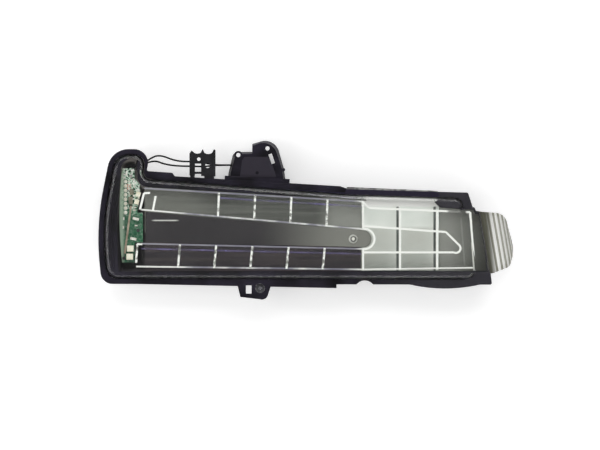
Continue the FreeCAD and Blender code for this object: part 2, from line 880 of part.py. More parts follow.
def cross_ribs():
    # Ribs across the arms, and a row of round dots beside the second rib of the upper arm
    high = guide_high + rib_lift
    reach = arm_turn - guide_inner_gap - guide_inner_gap
    ribs = []
    for k in range(int((reach - upper_rib_first) / rib_pitch) + 1):
        x = upper_rib_first + rib_pitch * k
        ribs.append(((x + rib_slant, arm_top(x)), (x, arm_low(x))))
    for k in range(int((reach - lower_rib_first) / rib_pitch) + 1):
        x = lower_rib_first + rib_pitch * k
        ribs.append(((x + rib_slant, lower_top(x)), (x - rib_slant, guide_foot_at(x))))
    solids = [strip(p, q, rib_wall, guide_low, high) for p, q in ribs]
    dots_x = upper_rib_first + rib_pitch + dot_offset
    low, tall = arm_low(dots_x), arm_top(dots_x) - arm_low(dots_x)
    for k in range(dot_count):
        y = low + tall * (k + 1) / (dot_count + 1)
        dot = Part.makeSphere(dot_radius, at(dots_x, y, guide_low + guide_base))
        solids.append(dot.common(block(dots_x - dot_radius, y - dot_radius, guide_low,
                                       dots_x + dot_radius, y + dot_radius, guide_high)))
    return solids


def grid_ribs():
    # Grid at the tail: full-height ribs, two levels across them, and the noses
    high = guide_high + rib_lift
    end_low, end_top = guide_end + end_rib_lean, guide_end - end_rib_lean / 2
    end_y = grid_top - grid_drop
    grid_right = arm_turn + 2 * grid_pitch
    bullet_x = grid_right + bullet_run
    solids = []

    def rib(p, q, width=rib_wall):
        solids.append(strip(p, q, width, guide_low, high))

    rib((arm_turn, arm_top_turn), (arm_turn, arm_low_turn))
    rib((arm_turn, lower_top_turn), (arm_turn, guide_foot))
    for x in (arm_turn + grid_pitch, grid_right):
        rib((x, between(x, arm_turn, grid_top, end_top, end_y)), (x, guide_foot))
    rib((end_top, end_y), (end_low, guide_foot_at(arm_start)))
    rib((arm_turn, arm_top_turn), (arm_turn + grid_step, grid_top), guide_wall)
    rib((arm_turn + grid_step, grid_top), (end_top, end_y))
    rib((arm_turn, grid_mid), (bullet_x, grid_mid - grid_mid_fall))
    rib((arm_turn, grid_low), (bullet_tip - bullet_round, grid_low))
    rib((bullet_x, grid_mid - grid_mid_fall), (bullet_tip - 1.4, grid_low + bullet_rise))
    solids.append(bent_strip((arm_turn, arm_low_turn), (nose_tip, nose_y), (arm_turn, lower_top_turn),
                             rib_wall, guide_low, high))
    solids.append(bent_strip((bullet_tip - 1.4, grid_low + bullet_rise),
                             (bullet_tip - 0.2, grid_low + 2.0), (bullet_tip - bullet_round, grid_low),
                             rib_wall, guide_low, high))
    return solids


def inlet_walls():
    # Inlets that take the light from the two pairs of LEDs
    high = guide_high + rib_lift
    cap = arm_top_start - 2.4
    low_x = inlet_x - inlet_lean
    foot_x = inlet_x - 3.9
    runs = [
        ((inlet_x, cap), (low_x, arm_low(low_x))),
        ((inlet_x, cap), (inlet_x + 3.5, cap + 0.2)),
        ((inlet_bar_x + 0.8, cap - 1.6), (inlet_bar_x - 0.8, arm_low(inlet_bar_x))),
        ((foot_x, lower_top_start), (foot_x - 0.6, guide_foot + 3.8)),
        ((foot_x, lower_top_start), (inlet_x - soft_corner, lower_top_start)),
    ]
    return [strip(p, q, rib_wall, guide_low, high) for p, q in runs]


def make_guide():
    solids = guide_plates() + arm_walls() + cross_ribs() + grid_ribs() + inlet_walls()
    return joined(solids).cut(lens_clearance())


# Dark inner plate, with the tongue embossed between the arms
def tongue_face():
    inset = guide_wall / 2 + tongue_gap
    left = board_right + 1.6
    turn = arm_turn - lap
    return face_of((left, lower_top(left) + inset), [
        [(turn, lower_top(turn) + inset)],
        [(nose_tip - 2 * inset, nose_y), (turn, arm_low(turn) - inset)],
        [(left, arm_low(left) - inset)],
    ])


def make_plate(window):
    area = kept(grown(window, -fit), board_right + lap, 0, tail_foot_x, head_height)
    return joined([raised(area, ledge_height, plate_top),
                   raised(tongue_face(), plate_top, plate_top + tongue_rise)])


def make_reflector(window):
    area = kept(grown(window, -2 * fit), arm_turn - lap, 0, arm_turn + 2 * grid_pitch + lap, head_height)
    sheet = raised(area, plate_top, plate_top + reflector_thickness)
    return sheet.cut(raised(grown(tongue_face(), fit), plate_top - lap, guide_high))


# Round pin that holds the nose of the tongue
def make_rivet():
    x, low = arm_turn - rivet_back, plate_top + tongue_rise
    dome = Part.makeSphere(rivet_dome, at(x, nose_y, low - rivet_dome / 2))
    head = dome.common(disc(x, nose_y, rivet_radius, low, low + rivet_dome))
    return head.cut(disc(x, nose_y, rivet_bore, low + rivet_height, low + rivet_dome))


# Circuit board and its parts
def board_face():
    mouth = arm_low_start - soft_corner
    left = board_left + board_bow
    return face_of((left, board_foot), [
        [(board_neck, board_foot)],
        [(board_neck, lower_top_start + soft_corner)],
        [(board_right, lower_top_start + soft_corner)],
        [(board_right, mouth)],
        [(board_right - 3.4, mouth)],
        [(board_right - 1.6, board_top - 14.0)],
        [(board_right - 1.6, board_top - 9.6)],
        [(board_neck, board_top - 6.0)],
        [(board_neck, board_top)],
        [(left, board_top)],
        [(board_left, (board_foot + board_top) / 2), (left, board_foot)],
    ])


def pin_centres():
    return [pin_top_y - pin_pitch * k for k in range(pin_count)]


def make_board():
    low, high = board_height - lap, board_surface + lap
    board = raised(board_face(), board_height, board_surface)
    holes = [disc(x, y, stake_radius + fit / 2, low, high) for x, y in board_posts()]
    holes += [disc(pin_x, y, pin_radius + fit / 2, low, high) for y in pin_centres()]
    return board.cut(holes)


def make_header():
    # The header hangs under the board: its pins come up through it, each in a cone of solder.
    ends = pin_centres()
    low = board_height - header_depth
    body = block(pin_x - header_width / 2, ends[-1] - pin_pitch / 2, low,
                 pin_x + header_width / 2, ends[0] + pin_pitch / 2, board_height)
    body = body.makeFillet(fit, upright_edges(body))
    pins = [disc(pin_x, y, pin_radius, low + lap, board_surface) for y in ends]
    cones = [Part.makeCone(joint_radius, joint_radius / 2, joint_height, at(pin_x, y, board_surface))
             for y in ends]
    pieces = [pin.fuse(cone).removeSplitter() for pin, cone in zip(pins, cones)]
    return body.cut(pins), Part.makeCompound(pieces)


def chip(x, y, length, width, height, turn=0.0):
    body = block(-length / 2, -width / 2, 0, length / 2, width / 2, height)
    rim = [e for e in body.Edges if min(v.Z for v in e.Vertexes) > height - fit]
    body = body.makeChamfer(min(0.2, height / 4), rim)
    body.rotate(at(0, 0), at(0, 0, 1), turn)
    body.translate(at(x, y, board_surface))
    return body


def make_board_parts():
    upper_y, lower_y = arm_top_start - 3.0, board_foot + 3.3
    upper = [(board_right - 2.7, upper_y), (board_right - 3.6, upper_y - upper_led_pitch)]
    lower = [(board_left + 5.9, lower_y), (board_left + 6.2, lower_y + lower_led_pitch)]
    # Grid steps across and down the board, then the width of a chip or the turn of a resistor
    chips = [(35, 68, 3.4), (32, 93, 4.4)]
    small = [(26, 51, 90), (33, 51, 90), (15, 18, 0), (38, 32, 0), (28, 38, 0), (15, 27, 0),
             (43, 52, 90), (45, 113, 0), (43, 121, 0), (12, 145, 90), (11, 170, 90), (48, 165, 0)]
    high = (arm_low_start + lower_top_start) / 2 + 25 * board_grid
    low = lower_top_start + 15 * board_grid
    return {
        "upper_leds": [chip(x, y, led_side, led_side, led_height, led_turn) for x, y in upper],
        "lower_leds": [chip(x, y, lower_led_length, lower_led_width, led_height) for x, y in lower],
        "driver_chips": [chip(*on_board(across, down), chip_length, wide, chip_height)
                         for across, down, wide in chips],
        "resistors": [chip(*on_board(across, down), small_length, small_width, small_height, turn)
                      for across, down, turn in small],
        "capacitors": [chip(board_left + across * board_grid, y, capacitor_length, capacitor_width,
                            chip_height, led_turn) for across, y in ((47, high), (40, low))],
    }


def make_link_strip():
    high = board_surface + small_height
    foot_x = board_left + link_inset
    run = [(foot_x + 2 * link_lean, board_top - link_drop),
           (foot_x + link_lean, (board_foot + board_top) / 2 - link_sag),
           (foot_x, board_foot + link_rise)]
    parts = [strip(p, q, link_width, board_surface, high) for p, q in zip(run, run[1:])]
    parts.append(disc(run[1][0], run[1][1], link_width / 2, board_surface, high))
    return joined(parts)


# Leads
def rounded(points, label):
    # Path of straight runs and tangent arcs, each arc as large as its two runs allow.
    pts = [at(*p) for p in points]
    edges, here, radii = [], pts[0], []
    for before, corner, after in zip(pts, pts[1:], pts[2:]):
        into, out = corner - before, after - corner
        cut = 0.45 * min(into.Length, out.Length)
        turn = into.getAngle(out)
        into.normalize()
        out.normalize()
        radii.append(cut / math.tan(turn / 2))
        bulge = (out - into).normalize() * (radii[-1] * (1 / math.cos(turn / 2) - 1))
        start, end = corner - into * cut, corner + out * cut
        edges.append(Part.LineSegment(here, start).toShape())
        edges.append(Part.Arc(start, corner + bulge, end).toShape())
        here = end
    edges.append(Part.LineSegment(here, pts[-1]).toShape())
    print(label, "arc radii", [round(r, 1) for r in radii])
    return Part.Wire(edges)


def tube(points, label):
    radius = lead_diameter / 2
    path = rounded(points, label)
    start = at(*points[0])
    circle = Part.Wire([Part.makeCircle(radius, start, at(*points[1]) - start)])
    solid = path.makePipeShell([circle], True, False)
    print(label, "volume over section times length",
          round(solid.Volume / (math.pi * radius ** 2 * path.Length), 4))
    return solid


def lead_points():
    # From the header under the board, through the grommet and the clip, to the connector.
    # Offsets along the route are in lead diameters.
    d = lead_diameter
    end = pin_top_y + pin_pitch / 2
    low = board_height - header_depth + d + lead_gap
    gx, gy, gz = window_head_right, grommet_y, grommet_height
    half = (d + lead_gap) / 2
    level = lead_level
    crest = top_edge(clip_left) + 12.4 * d
    clip_right = clip_left + clip_width
    socket = connector_x - connector_length / 2
    entry = lead_entry
    upper = [(pin_x - half, end, low), (pin_x - half, end + 3.6 * d, low),
             (pin_x + 2.0 * d, gy - 0.4 * d, gz - 2.6 * d), (gx - 1.2 * d, gy, gz + half),
             (gx + 3.0 * d, gy + 0.8 * d, gz + half), (gx + 7.0 * d, crest - 2.0 * d, gz),
             (gx + 11.0 * d, crest, level + 1.0 * d), (gx + 15.0 * d, crest - 0.4 * d, level + half),
             (gx + 20.0 * d, crest - 2.4 * d, level + 0.2 * d), (gx + 25.0 * d, crest - 3.4 * d, level),
             (clip_left + 2.0 * d, crest - 3.5 * d, level),
             (clip_left + 8.5 * d, crest - 4.2 * d, level + 0.3 * d),
             (clip_right - 0.5 * d, entry + 0.1 * d, level + half),
             (clip_right + 8.5 * d, entry, level + half), (socket, entry, level + half)]
    lower = [(pin_x + half, end, low), (pin_x + half, end + 3.6 * d, low),
             (pin_x + 3.2 * d, gy - 2.2 * d, gz - 2.4 * d), (gx - 0.6 * d, gy - 0.2 * d, gz - half),
             (gx + 3.0 * d, gy + 0.2 * d, gz - half), (gx + 7.0 * d, crest - 3.6 * d, gz - 1.0 * d),
             (gx + 11.0 * d, crest - 3.2 * d, level - 0.2 * d),
             (gx + 14.6 * d, crest - 4.6 * d, level - 0.3 * d),
             (gx + 19.0 * d, crest - 5.6 * d, level - 0.2 * d),
             (gx + 25.0 * d, crest - 6.1 * d, level - 0.1 * d),
             (clip_left + 2.0 * d, crest - 6.2 * d, level),
             (clip_left + 8.5 * d, crest - 6.4 * d, level - 0.3 * d),
             (clip_right - 0.5 * d, entry - 0.1 * d, level - half),
             (clip_right + 8.5 * d, entry, level - half), (socket, entry, level - half)]
    return {"lead_upper": upper, "lead_lower": lower}


def make_grommet(leads):
    x = window_head_right
    body = Part.makeCylinder(grommet_radius, wall, at(x, grommet_y, grommet_height), at(1, 0, 0))
    lips = [Part.makeCylinder(grommet_radius + grommet_lip, grommet_lip,
                              at(side, grommet_y, grommet_height), at(1, 0, 0))
            for side in (x - grommet_lip, x + wall)]
    return joined([body] + lips).cut(leads)


# Holder on the band's upper edge that guides the leads
def make_clip():
    left, right = clip_left, clip_left + clip_width
    foot = top_edge(left) + clip_lift
    top = foot + clip_height
    front, back = clip_front, clip_front - clip_depth
    tip = top + spike_height
    face = face_of((left, foot), [
        [(right, foot - 0.6)],
        [(right, tip - 0.6)],
        [(right - 1.0, tip - 0.2)],
        [(right - 2.0, top + 0.2)],
        [(right - 4.0, top - 0.5), (right - 6.4, top + 0.2)],
        [(right - 7.4, tip)],
        [(right - 8.6, top + 0.2)],
        [(right - 10.4, top - 0.3), (right - 12.2, top + 0.2)],
        [(left + 1.2, tip - 0.8)],
        [(left + 0.2, top)],
    ])
    plate = raised(face, front - clip_wall, front)
    sides = [block(left, foot, back, left + clip_wall, top, front),
             block(right - clip_wall, foot - 0.6, back, right, top, front)]
    floor = block(left, foot, back, right, foot + clip_wall, front)
    rib = block(right - 3.0, foot, front - fit, right - 2.0, top - lap, front + 0.5)
    tongues = [block(x0, foot - 4.6, flange_low - clip_wall, x1, foot + lap, flange_low)
               for x0, x1 in ((left + 0.4, left + 3.0), (right - 6.5, right - 0.8))]
    low, high = back - lap, front + lap
    mouths = lead_level + 1.5
    hole_x = left + 3.2
    cuts = [disc(left + 5.4, foot + 9.4, 1.0, low, high),
            block(hole_x, foot + 2.2, low, hole_x + 3.5, foot + 6.8, high),
            disc(left + 10.4, foot + 5.7, 1.4, low, high),
            block(hole_x, foot - lap, low, hole_x + 3.5, foot + 0.9, high),
            block(left - lap, foot + 4.0, low, left + clip_wall + lap, foot + 11.0, mouths),
            block(right - clip_wall - lap, foot + 4.0, low, right + lap, foot + 9.4, mouths)]
    return joined([plate, floor, rib] + sides + tongues).cut(cuts)


# Socket behind the bracket, mouth to the rear
def make_connector():
    top = bracket_front - bracket_wall
    low = top - connector_height
    x0, x1 = connector_x - connector_length / 2, connector_x + connector_length / 2
    y0, y1 = connector_y - connector_width / 2, connector_y + connector_width / 2
    side = connector_wall
    body = block(x0, y0, low, x1, y1, top)
    body = body.makeFillet(side, upright_edges(body))
    mouth = block(x0 + side, y0 + side, low - lap, x1 - side, y1 - side, top - 2 * side)
    mouth = mouth.makeFillet(side / 2, upright_edges(mouth))
    half = latch_length / 2
    latch = block(connector_x - half, y1, low + lap, connector_x + half, y1 + latch_depth,
                  low + lap + 2 * latch_depth)
    blades = []
    for sign in (-1, 1):
        x = connector_x + sign * contact_gap / 2
        blades.append(block(x - contact_width / 2, connector_y - contact_width, low + 1.5,
                            x + contact_width / 2, connector_y + contact_width, top - lap))
    return body.fuse(latch).removeSplitter().cut([mouth] + blades), Part.makeCompound(blades)


def make_bush():
    # Blind bush, open to the rear, with a dimple in its closed front
    low, high = lug_low - bush_reach, lug_low + lug_thickness
    outer = disc(bush_x, bush_y, lug_bore / 2 + bush_wall - 0.02, low, high)
    dimple = Part.makeSphere(lug_bore / 2, at(bush_x, bush_y, high + lug_bore / 2 - bush_dimple))
    return outer.cut([disc(bush_x, bush_y, lug_bore / 2, low - lap, high - bush_web), dimple])


def make_vent():
    cap = disc(vent_x, vent_y, vent_radius, vent_lift, wall)
    notches = []
    for k in range(vent_notches):
        angle = 2 * math.pi * k / vent_notches
        notches.append(disc(vent_x + vent_radius * math.cos(angle), vent_y + vent_radius * math.sin(angle),
                            0.9, -lap, wall - 0.7))
    return cap.cut(notches)


def main():
    os.makedirs("parts", exist_ok=True)
    window = window_face()
    body = body_face(band_face())
    leads = {name: tube(points, name) for name, points in lead_points().items()}
    header, pins = make_header()
    socket, contacts = make_connector()
    nodes = {
        "housing": make_housing(body, window),
        "outer_lens": make_lens(body),
        "lens_seal": make_seal(window),
        "light_guide": make_guide(),
        "backing_plate": make_plate(window),
        "reflector": make_reflector(window),
        "circuit_board": make_board(),
        "header_body": header,
        "header_pins": pins,
        "link_strip": make_link_strip(),
        "guide_rivet": make_rivet(),
        "lead_grommet": make_grommet(list(leads.values())),
        "lead_clip": make_clip(),
        "connector_body": socket,
        "connector_contacts": contacts,
        "lug_bush": make_bush(),
        "vent_cap": make_vent(),
    }
    for name, group in make_board_parts().items():
        nodes[name] = Part.makeCompound(group)
    nodes.update(leads)

    box = FreeCAD.BoundBox()
    for shape in nodes.values():
        box.add(shape.optimalBoundingBox(False, False))
    shift = at(-(box.XMin + box.XMax) / 2, -(box.YMin + box.YMax) / 2, -box.ZMin)
    print("origin shift", shift, "size", box.XLength, box.YLength, box.ZLength)
    for name, shape in nodes.items():
        moved = shape.copy()
        moved.translate(shift)
        print(name, moved.isValid(), len(moved.Solids), round(moved.Volume, 1))
        moved.exportStep("parts/" + name + ".step")


main()
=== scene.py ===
import bmesh
import bpy
import numpy as np
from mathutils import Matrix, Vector


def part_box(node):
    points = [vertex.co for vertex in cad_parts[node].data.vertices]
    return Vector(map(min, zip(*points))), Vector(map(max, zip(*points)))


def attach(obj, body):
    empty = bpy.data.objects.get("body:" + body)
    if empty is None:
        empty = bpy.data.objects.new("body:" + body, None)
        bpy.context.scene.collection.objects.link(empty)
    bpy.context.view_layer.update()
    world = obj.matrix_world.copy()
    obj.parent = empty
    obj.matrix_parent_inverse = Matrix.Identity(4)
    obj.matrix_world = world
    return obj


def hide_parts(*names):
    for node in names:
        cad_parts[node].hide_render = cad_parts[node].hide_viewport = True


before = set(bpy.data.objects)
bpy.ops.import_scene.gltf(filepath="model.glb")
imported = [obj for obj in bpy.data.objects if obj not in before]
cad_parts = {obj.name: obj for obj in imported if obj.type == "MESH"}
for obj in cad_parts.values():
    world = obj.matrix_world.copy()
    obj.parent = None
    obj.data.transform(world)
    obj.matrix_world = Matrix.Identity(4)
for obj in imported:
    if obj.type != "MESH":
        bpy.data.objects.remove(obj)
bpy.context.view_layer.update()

print("frame loaded")

# the lamp's own millimetres: along it from the head's left edge, and across it from a line
# that lies lugDrop above the lug's lowest point
mm = 0.001
layout = {"lugDrop": 8.98}
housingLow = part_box("housing")[0]
lampCorner = (housingLow.x, housingLow.y + layout["lugDrop"] * mm)


def spot(x, y):
    return lampCorner[0] + x * mm, lampCorner[1] + y * mm


# small tools for shader nodes

def newMaterial(name):
    material = bpy.data.materials.new(name)
    material.use_nodes = True
    material.node_tree.nodes.clear()
    return material, material.node_tree


def addNode(tree, kind, values=None, **settings):
    node = tree.nodes.new(kind)
    for key, value in settings.items():
        setattr(node, key, value)
    for key, value in (values or {}).items():
        feed(tree, node.inputs[key], value)
    return node


def feed(tree, socket, value):
    # an input takes either a link from another node or a plain value
    if isinstance(value, bpy.types.NodeSocket):
        tree.links.new(value, socket)
    else:
        socket.default_value = value


def calc(tree, operation, first, second=0.0):
    return addNode(tree, "ShaderNodeMath", {0: first, 1: second}, operation=operation).outputs[0]


def product(tree, first, *others):
    for other in others:
        first = calc(tree, "MULTIPLY", first, other)
    return first


def highest(tree, first, *others):
    for other in others:
        first = calc(tree, "MAXIMUM", first, other)
    return first


def lean(tree, value, share, other):
    # one coordinate plus a share of another, for lines that run aslant
    return addNode(tree, "ShaderNodeMath", {0: value, 1: share, 2: other},
                   operation="MULTIPLY_ADD").outputs[0]


def slope(tree, value, low, high, toLow=0.0, toHigh=1.0):
    # eased change from one level to another while the value goes from low to high
    return addNode(tree, "ShaderNodeMapRange", {
        "Value": value, "From Min": low, "From Max": high, "To Min": toLow, "To Max": toHigh},
        interpolation_type="SMOOTHSTEP").outputs["Result"]


def within(tree, value, low, high, soft):
    # one between low and high, nought outside, with both ends eased
    rise = slope(tree, value, low - soft, low + soft)
    fall = slope(tree, value, high - soft, high + soft, 1.0, 0.0)
    return calc(tree, "MULTIPLY", rise, fall)


def tone(red, green, blue):
    # screen colour of 0 to 255 to the shader's linear colour
    part = np.array([red, green, blue]) / 255
    linear = np.where(part <= 0.04045, part / 12.92, ((part + 0.055) / 1.055) ** 2.4)
    return (*[float(v) for v in linear], 1.0)


def blend(tree, share, first, second):
    # each colour is a link from another node or a screen colour of 0 to 255
    node = addNode(tree, "ShaderNodeMix", data_type="RGBA")
    for place, value in ((0, share), (6, first), (7, second)):
        feed(tree, node.inputs[place], tone(*value) if isinstance(value, tuple) else value)
    return node.outputs[2]


def noise(tree, place, scale, detail=2.0):
    node = addNode(tree, "ShaderNodeTexNoise", {"Vector": place, "Scale": scale, "Detail": detail})
    return node.outputs["Fac"]


def faced(tree):
    # the way the surface faces, as three parts
    normal = addNode(tree, "ShaderNodeNewGeometry").outputs["Normal"]
    return addNode(tree, "ShaderNodeSeparateXYZ", {0: normal}).outputs


def bumped(tree, height, strength):
    return addNode(tree, "ShaderNodeBump", {
        "Height": height, "Strength": strength, "Distance": 0.2 * mm}).outputs["Normal"]


def surface(tree, shader):
    out = addNode(tree, "ShaderNodeOutputMaterial")
    tree.links.new(shader.outputs[0], out.inputs["Surface"])


def makeGroup(name, inputs, outputs):
    group = bpy.data.node_groups.new(name, "ShaderNodeTree")
    for label, value in inputs:
        socket = group.interface.new_socket(label, in_out="INPUT", socket_type="NodeSocketFloat")
        socket.default_value = value
    for label in outputs:
        kind = "NodeSocketVector" if label == "Place" else "NodeSocketFloat"
        group.interface.new_socket(label, in_out="OUTPUT", socket_type=kind)
    return group, addNode(group, "NodeGroupInput"), addNode(group, "NodeGroupOutput")


grainLook = {"fineDetail": 3.0, "fineRough": 0.6, "fineShare": 0.35,
             "roughOver": (0.3, 0.7), "maskOver": (0.35, 0.65)}


def makeMouldGrain(look):
    # fine moulding grain plus slow unevenness
    group, given, out = makeGroup(
        "mouldGrain", [("Grain Size", 2500.0), ("Wave Size", 60.0), ("Low", 0.2), ("High", 0.4)],
        ["Height", "Roughness", "Mask"])
    place = addNode(group, "ShaderNodeTexCoord").outputs["Object"]
    grain = addNode(group, "ShaderNodeTexNoise", {
        "Vector": place, "Scale": given.outputs["Grain Size"], "Detail": look["fineDetail"],
        "Roughness": look["fineRough"]}).outputs["Fac"]
    wave = noise(group, place, given.outputs["Wave Size"])
    lowest, most = look["roughOver"]
    rough = addNode(group, "ShaderNodeMapRange", {
        "Value": wave, "From Min": lowest, "From Max": most, "To Min": given.outputs["Low"],
        "To Max": given.outputs["High"]}).outputs["Result"]
    lowest, most = look["maskOver"]
    mask = addNode(group, "ShaderNodeMapRange", {
        "Value": wave, "From Min": lowest, "From Max": most}).outputs["Result"]
    height = lean(group, grain, look["fineShare"], wave)
    for label, value in (("Height", height), ("Roughness", rough), ("Mask", mask)):
        feed(group, out.inputs[label], value)
    return group


def makeLampPlace():
    # a point's place along the lamp, across it and up out of its window, in millimetres
    group, _, out = makeGroup("lampPlace", [], ["Along", "Across", "Up", "Place"])
    place = addNode(group, "ShaderNodeTexCoord").outputs["Object"]
    shifted = addNode(group, "ShaderNodeVectorMath", {0: place, 1: (*lampCorner, 0.0)},
                      operation="SUBTRACT")
    scaled = addNode(group, "ShaderNodeVectorMath", {0: shifted.outputs[0], 1: (1 / mm,) * 3},
                     operation="MULTIPLY")
    parts = addNode(group, "ShaderNodeSeparateXYZ", {0: scaled.outputs[0]})
    feed(group, out.inputs["Place"], scaled.outputs[0])
    for axis, label in enumerate(("Along", "Across", "Up")):
        feed(group, out.inputs[label], parts.outputs[axis])
    return group


mouldGrain = makeMouldGrain(grainLook)
lampPlace = makeLampPlace()


def lampSpots(tree, *labels):
    # those of a point's places that a material asks for
    node = addNode(tree, "ShaderNodeGroup", node_tree=lampPlace)
    return [node.outputs[label] for label in labels]


def plasticMaterial(name, look, paint=None):
    # moulded, coated or metal surface in two tones, or in the colours that paint works out
    material, tree = newMaterial(name)
    grain = addNode(tree, "ShaderNodeGroup", node_tree=mouldGrain)
    for key, value in (("Grain Size", look["grain"]), ("Wave Size", look.get("wave", 60.0)),
                       ("Low", look["rough"][0]), ("High", look["rough"][1])):
        feed(tree, grain.inputs[key], value)
    if paint:
        colour = paint(tree, look, grain.outputs["Mask"])
    else:
        colour = blend(tree, grain.outputs["Mask"], look["dark"], look["pale"])
    surface(tree, addNode(tree, "ShaderNodeBsdfPrincipled", {
        "Base Color": colour, "Roughness": grain.outputs["Roughness"],
        "Metallic": look.get("metal", 0.0), "Specular IOR Level": look.get("specular", 0.5),
        "Normal": bumped(tree, grain.outputs["Height"], look["bump"])}))
    return material


def dress(node, material):
    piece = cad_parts[node]
    piece.data.materials.clear()
    piece.data.materials.append(material)


# join is in millimetres, and the two angles are in degrees
smoothing = {"join": 0.002, "sharp": 28.0, "roundSharp": 40.0}


def smoothCopy(node, name, material, sharp=smoothing["sharp"]):
    # the solid's loose triangles joined, and shaded smooth over every edge under the sharp angle
    work = bmesh.new()
    work.from_mesh(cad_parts[node].data)
    bmesh.ops.remove_doubles(work, verts=work.verts, dist=smoothing["join"] * mm)
    for face in work.faces:
        face.smooth = True
    for edge in work.edges:
        edge.smooth = edge.calc_face_angle(np.pi) < np.radians(sharp)
    mesh = bpy.data.meshes.new(name)
    work.to_mesh(mesh)
    work.free()
    mesh.materials.clear()
    mesh.materials.append(material)
    piece = bpy.data.objects.new(name, mesh)
    bpy.context.collection.objects.link(piece)
    evened = piece.modifiers.new("evened", "WEIGHTED_NORMAL")
    evened.keep_sharp = True
    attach(piece, "root")
    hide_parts(node)


# In each piece's values a place is its start, its end and how soft both are. A change is its
# start and its end, with the levels before and after where they aren't 0 and 1. A colour is a
# screen colour of 0 to 255. Along, Across and Up are in the lamp's millimetres.

# moulded black pieces: the well round the board is painted pale grey as painted glare that lifts it out
# of its shade, a painted purple sheen on the long band stands in for a reflection, and the tail is paler
def housingPaint(tree, look, mask):
    along, across, up, place = lampSpots(tree, "Along", "Across", "Up", "Place")
    black = blend(tree, mask, look["dark"], look["pale"])
    black = blend(tree, slope(tree, along, *look["tailChange"]), black, look["tail"])
    # walls that face away from the well stay black
    facing = faced(tree)
    # painted glare: the well round the board is lifted to a pale grey in place of its shade
    wellGlare = product(tree, within(tree, along, *look["wellAlong"]),
                   within(tree, across, *look["wellAcross"]), within(tree, up, *look["wellUp"]),
                   slope(tree, across, *look["wellChange"]),
                   slope(tree, facing["Y"], *look["wellFacesAcross"]),
                   slope(tree, facing["X"], *look["wellFacesAlong"]))
    black = blend(tree, wellGlare, black, look["wellGlare"])
    panel = product(tree, within(tree, along, *look["panelAlong"]),
                    slope(tree, across, *look["panelFrom"]), within(tree, up, *look["panelUp"]))
    black = blend(tree, panel, black, look["panel"])
    # painted sheen: a purple painted reflection in cloudy patches along a slanting line on the long band
    line = lean(tree, along, look["sheenFall"], across)
    clouds = noise(tree, place, look["sheenGrain"])
    paintedSheen = product(tree, within(tree, line, *look["sheenAcross"]),
                    within(tree, along, *look["sheenAlong"]), slope(tree, clouds, *look["sheenClouds"]))
    return blend(tree, paintedSheen, black, look["paintedSheen"])


blackLook = {"dark": (14, 13, 17), "pale": (36, 33, 44),
             "tail": (54, 53, 58), "tailChange": (140.0, 200.0, 0.0, 0.8),
             "wellGlare": (178, 173, 169), "wellAlong": (10.2, 31.0, 0.3), "wellAcross": (6.4, 72.6, 0.3),
             "wellUp": (2.6, 19.5, 0.2), "wellChange": (30.0, 62.0, 0.08, 1.0),
             "wellFacesAcross": (0.2, 0.5, 1.0, 0.0), "wellFacesAlong": (-0.5, -0.2),
             "panel": (47, 44, 52), "panelAlong": (76.0, 110.0, 0.5), "panelFrom": (61.0, 62.0),
             "panelUp": (19.25, 20.5, 0.1),
             "paintedSheen": (64, 58, 92), "sheenFall": 0.0617, "sheenAcross": (60.1, 61.1, 0.35),
             "sheenAlong": (40.0, 140.0, 12.0), "sheenGrain": 0.08,
             "sheenClouds": (0.3, 0.6, 0.4, 1.0),
             "rough": (0.46, 0.62), "grain": 2600.0, "bump": 0.1, "specular": 0.12}
matteLook = {"dark": (14, 14, 16), "pale": (30, 29, 34), "rough": (0.4, 0.6), "grain": 3200.0,
             "bump": 0.2, "specular": 0.3}
rubberLook = {"dark": (10, 10, 11), "pale": (20, 20, 22), "rough": (0.5, 0.7), "grain": 2000.0,
              "bump": 0.2, "specular": 0.2}
bushLook = {"dark": (86, 86, 90), "pale": (128, 128, 132), "rough": (0.22, 0.32), "grain": 900.0,
            "wave": 150.0, "bump": 0.05, "metal": 0.8}
matteBlack = plasticMaterial("matteBlack", matteLook)
blackRubber = plasticMaterial("blackRubber", rubberLook)
blackMoulding = plasticMaterial("blackMoulding", blackLook, housingPaint)
smoothCopy("housing", "mouldedHousing", blackMoulding)
dress("lug_bush", plasticMaterial("bushZinc", bushLook))
for name in ("lead_clip", "connector_body", "vent_cap", "header_body"):
    dress(name, matteBlack)
dress("lens_seal", blackRubber)
for name, smoothName, slot in (("lead_grommet", "rubberGrommet", "rubber_black"),
                               ("lead_upper", "upperLead", "wire_black"),
                               ("lead_lower", "lowerLead", "wire_black")):
    smoothCopy(name, smoothName, blackRubber, smoothing["roundSharp"])
print("black pieces dressed")


